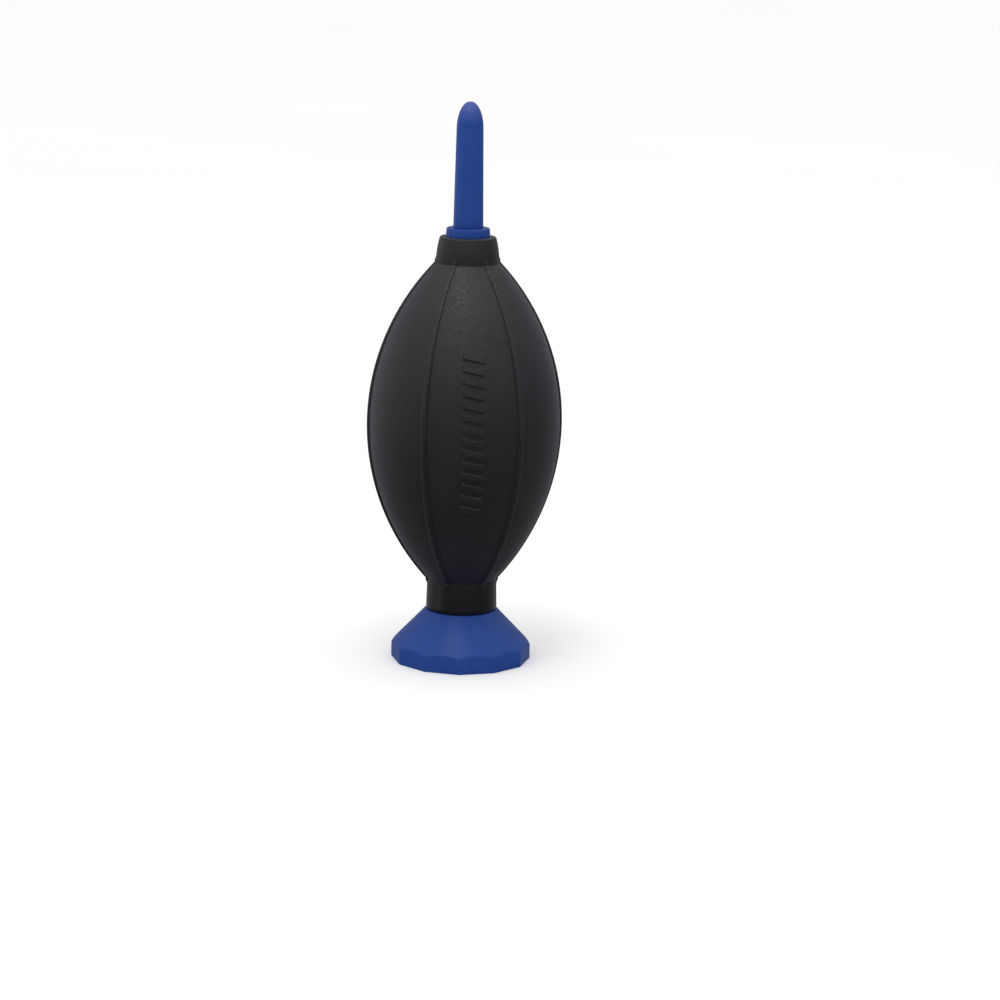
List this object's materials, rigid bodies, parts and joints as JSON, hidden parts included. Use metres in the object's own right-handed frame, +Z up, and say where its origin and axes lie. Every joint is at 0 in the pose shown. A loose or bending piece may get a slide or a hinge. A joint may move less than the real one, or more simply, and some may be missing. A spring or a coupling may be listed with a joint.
{
  "type": "dust blower bulb",
  "caption": "Hand-squeezed dust blower: ribbed rubber bulb on a faceted foot with a filtered inlet valve, and a tapered pull-out nozzle over an outlet valve.",
  "frame": {"origin": "centre of the foot's underside, on the plane it stands on", "axes": "+Z up the object's axis to the nozzle's tip, -Y towards the front panel's side; a corner of the twelve-sided foot points along -Y"},
  "size_m": [0.0644, 0.064, 0.1851],
  "materials": {
    "blue_plastic": "satin moulded plastic",
    "black_rubber": "matte, finely grained",
    "grey_plastic": "matte moulded plastic",
    "clear_silicone": "smooth, slightly cloudy",
    "seal_rubber": "smooth",
    "filter_sheet": "felted, folded",
    "filter_mesh": "moulded mesh",
    "spring_steel": "drawn wire"
  },
  "bodies": {
    "foot": {"foot_shell": "blue_plastic", "inlet_spigot": "grey_plastic", "inlet_valve_seat": "grey_plastic", "inlet_valve_cage": "grey_plastic", "filter_gasket": "seal_rubber"},
    "filter_cartridge": {"filter_cap": "blue_plastic", "filter_screen": "filter_mesh", "filter_frame": "grey_plastic", "filter_pleats": "filter_sheet", "filter_back_screen": "filter_mesh"},
    "inlet_disc": {"inlet_valve_disc": "clear_silicone"},
    "bulb_body": {"bulb": "black_rubber"},
    "plug": {"nozzle_plug": "blue_plastic", "outlet_valve_seat": "grey_plastic", "outlet_valve_guide": "grey_plastic", "outlet_valve_spring": "spring_steel"},
    "outlet_poppet": {"outlet_valve_poppet": "grey_plastic", "outlet_valve_washer": "clear_silicone"},
    "seal": {"nozzle_seal_ring": "seal_rubber"},
    "nozzle_tube": {"nozzle": "blue_plastic"}
  },
  "joints": [
    {"name": "filter_cap_turn", "type": "hinge", "parent": "foot", "child": "filter_cartridge", "pos_m": [0, 0, 0.003], "axis": [0, 0, 1], "range_deg": [0, 40]},
    {"name": "inlet_valve_lift", "type": "slide", "parent": "foot", "child": "inlet_disc", "axis": [0, 0, 1], "range_m": [0, 0.0013]},
    {"name": "bulb_turn", "type": "hinge", "parent": "foot", "child": "bulb_body", "pos_m": [0, 0, 0.017], "axis": [0, 0, 1], "continuous": true},
    {"name": "bulb_squeeze", "type": "slide", "parent": "bulb_body", "child": "plug", "axis": [0, 0, -1], "range_m": [0, 0.02], "stiffness_N_per_m": 1500, "deforming": ["bulb"]},
    {"name": "outlet_valve_lift", "type": "slide", "parent": "plug", "child": "outlet_poppet", "axis": [0, 0, 1], "range_m": [0, 0.0014], "stiffness_N_per_m": 40, "deforming": ["outlet_valve_spring"]},
    {"name": "nozzle_pull", "type": "slide", "parent": "plug", "child": "seal", "axis": [0, 0, 1], "range_m": [0, 0.01]},
    {"name": "nozzle_turn", "type": "hinge", "parent": "seal", "child": "nozzle_tube", "pos_m": [0, 0, 0.1444], "axis": [0, 0, 1], "continuous": true}
  ]
}
